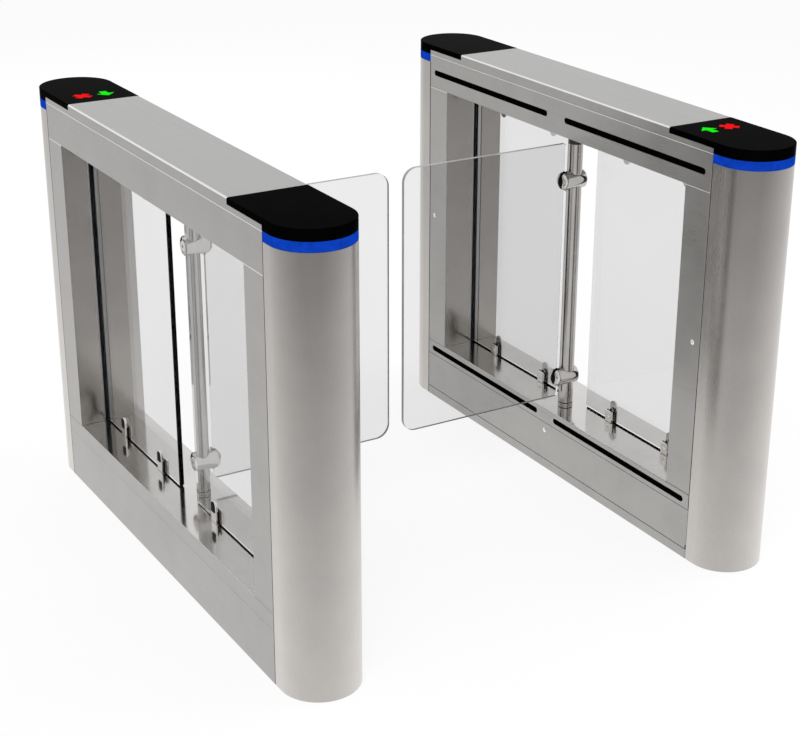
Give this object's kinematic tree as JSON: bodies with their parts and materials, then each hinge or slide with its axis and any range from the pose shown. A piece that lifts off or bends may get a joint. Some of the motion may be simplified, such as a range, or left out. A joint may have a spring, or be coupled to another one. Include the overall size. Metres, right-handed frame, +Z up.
{
  "type": "speed gate turnstile",
  "caption": "Swing-wing speed gate: slim steel cabinets with glass panes face each other across a lane, and glass wings swing to let people through.",
  "frame": {"origin": "middle of the lane on the floor, at the bottom centre of the bounding box", "axes": "+X across the lane towards the right cabinet, +Y along the cabinets in the walking direction, +Z up"},
  "size_m": [1.27, 1.416, 1.02],
  "materials": {
    "brushed_steel": "brushed",
    "polished_steel": "polished",
    "satin_steel": "satin",
    "zinc_plated": "zinc plated",
    "dark_metal": "semi-gloss paint",
    "black_gloss": "gloss",
    "black_plastic": "matt",
    "smoked_lens": "gloss",
    "blue_light": "translucent",
    "sign_light": "translucent",
    "clear_glass": "polished"
  },
  "bodies": {
    "cabinets": {"right_base_tray": "brushed_steel", "right_base_rail": "polished_steel", "right_window_frame": "brushed_steel", "right_top_lid": "brushed_steel", "right_plain_end_cover": "brushed_steel", "right_display_end_cover": "brushed_steel", "right_plain_cap": "black_gloss", "right_display_cap": "black_gloss", "right_display_module": "sign_light", "right_light_guide": "blue_light", "right_plain_end_pane": "clear_glass", "right_display_end_pane": "clear_glass", "right_lower_pane_clamps": "satin_steel", "right_upper_pane_clamps": "satin_steel", "right_upper_sensor_strip": "smoked_lens", "right_lower_sensor_strip": "smoked_lens", "right_upper_bush": "black_plastic", "right_drive_bridge": "zinc_plated", "right_control_unit": "dark_metal", "right_gear_motor": "dark_metal", "left_base_tray": "brushed_steel", "left_base_rail": "polished_steel", "left_window_frame": "brushed_steel", "left_top_lid": "brushed_steel", "left_plain_end_cover": "brushed_steel", "left_display_end_cover": "brushed_steel", "left_plain_cap": "black_gloss", "left_display_cap": "black_gloss", "left_display_module": "sign_light", "left_light_guide": "blue_light", "left_plain_end_pane": "clear_glass", "left_display_end_pane": "clear_glass", "left_lower_pane_clamps": "satin_steel", "left_upper_pane_clamps": "satin_steel", "left_upper_sensor_strip": "smoked_lens", "left_lower_sensor_strip": "smoked_lens", "left_upper_bush": "black_plastic", "left_drive_bridge": "zinc_plated", "left_control_unit": "dark_metal", "left_gear_motor": "dark_metal"},
    "right_wing": {"right_swing_post": "satin_steel", "right_wing_glass": "clear_glass", "right_upper_wing_clamp": "satin_steel", "right_lower_wing_clamp": "satin_steel", "right_drive_wheel": "zinc_plated"},
    "right_pinion": {"right_drive_pinion": "zinc_plated"},
    "right_door": {"right_access_door": "brushed_steel"},
    "right_door_latch_body": {"right_door_latch": "satin_steel"},
    "right_plain_latch_body": {"right_plain_cover_latch": "satin_steel"},
    "right_display_latch_body": {"right_display_cover_latch": "satin_steel"},
    "left_wing": {"left_swing_post": "satin_steel", "left_wing_glass": "clear_glass", "left_upper_wing_clamp": "satin_steel", "left_lower_wing_clamp": "satin_steel", "left_drive_wheel": "zinc_plated"},
    "left_pinion": {"left_drive_pinion": "zinc_plated"},
    "left_door": {"left_access_door": "brushed_steel"},
    "left_door_latch_body": {"left_door_latch": "satin_steel"},
    "left_plain_latch_body": {"left_plain_cover_latch": "satin_steel"},
    "left_display_latch_body": {"left_display_cover_latch": "satin_steel"}
  },
  "joints": [
    {"name": "right_wing_swing", "type": "hinge", "parent": "cabinets", "child": "right_wing", "pos_m": [0.519, 0, 0.5], "axis": [0, 0, 1], "range_deg": [-90, 90]},
    {"name": "right_pinion_spin", "type": "hinge", "parent": "cabinets", "child": "right_pinion", "pos_m": [0.539, 0.05921, 0.106], "axis": [0, 0, 1], "range_deg": [-240, 240]},
    {"name": "right_door_drop", "type": "hinge", "parent": "cabinets", "child": "right_door", "pos_m": [0.4585, 0, 0.0335], "axis": [0, -1, 0], "range_deg": [0, 90]},
    {"name": "right_door_latch_turn", "type": "hinge", "parent": "right_door", "child": "right_door_latch_body", "pos_m": [0.455, 0, 0.106], "axis": [1, 0, 0], "range_deg": [0, 90]},
    {"name": "right_plain_cover_latch_turn", "type": "hinge", "parent": "cabinets", "child": "right_plain_latch_body", "pos_m": [0.455, 0.564, 0.546], "axis": [-1, 0, 0], "range_deg": [0, 90]},
    {"name": "right_display_cover_latch_turn", "type": "hinge", "parent": "cabinets", "child": "right_display_latch_body", "pos_m": [0.455, -0.564, 0.546], "axis": [1, 0, 0], "range_deg": [0, 90]},
    {"name": "left_wing_swing", "type": "hinge", "parent": "cabinets", "child": "left_wing", "pos_m": [-0.519, 0, 0.5], "axis": [0, 0, 1], "range_deg": [-90, 90]},
    {"name": "left_pinion_spin", "type": "hinge", "parent": "cabinets", "child": "left_pinion", "pos_m": [-0.539, -0.05921, 0.106], "axis": [0, 0, 1], "range_deg": [-240, 240]},
    {"name": "left_door_drop", "type": "hinge", "parent": "cabinets", "child": "left_door", "pos_m": [-0.4585, 0, 0.0335], "axis": [0, 1, 0], "range_deg": [0, 90]},
    {"name": "left_door_latch_turn", "type": "hinge", "parent": "left_door", "child": "left_door_latch_body", "pos_m": [-0.455, 0, 0.106], "axis": [-1, 0, 0], "range_deg": [0, 90]},
    {"name": "left_plain_cover_latch_turn", "type": "hinge", "parent": "cabinets", "child": "left_plain_latch_body", "pos_m": [-0.455, -0.564, 0.546], "axis": [1, 0, 0], "range_deg": [0, 90]},
    {"name": "left_display_cover_latch_turn", "type": "hinge", "parent": "cabinets", "child": "left_display_latch_body", "pos_m": [-0.455, 0.564, 0.546], "axis": [-1, 0, 0], "range_deg": [0, 90]}
  ],
  "couplings": [
    {"joint": "right_pinion_spin", "follows": "right_wing_swing", "ratio": -2.5714},
    {"joint": "left_pinion_spin", "follows": "left_wing_swing", "ratio": -2.5714}
  ]
}
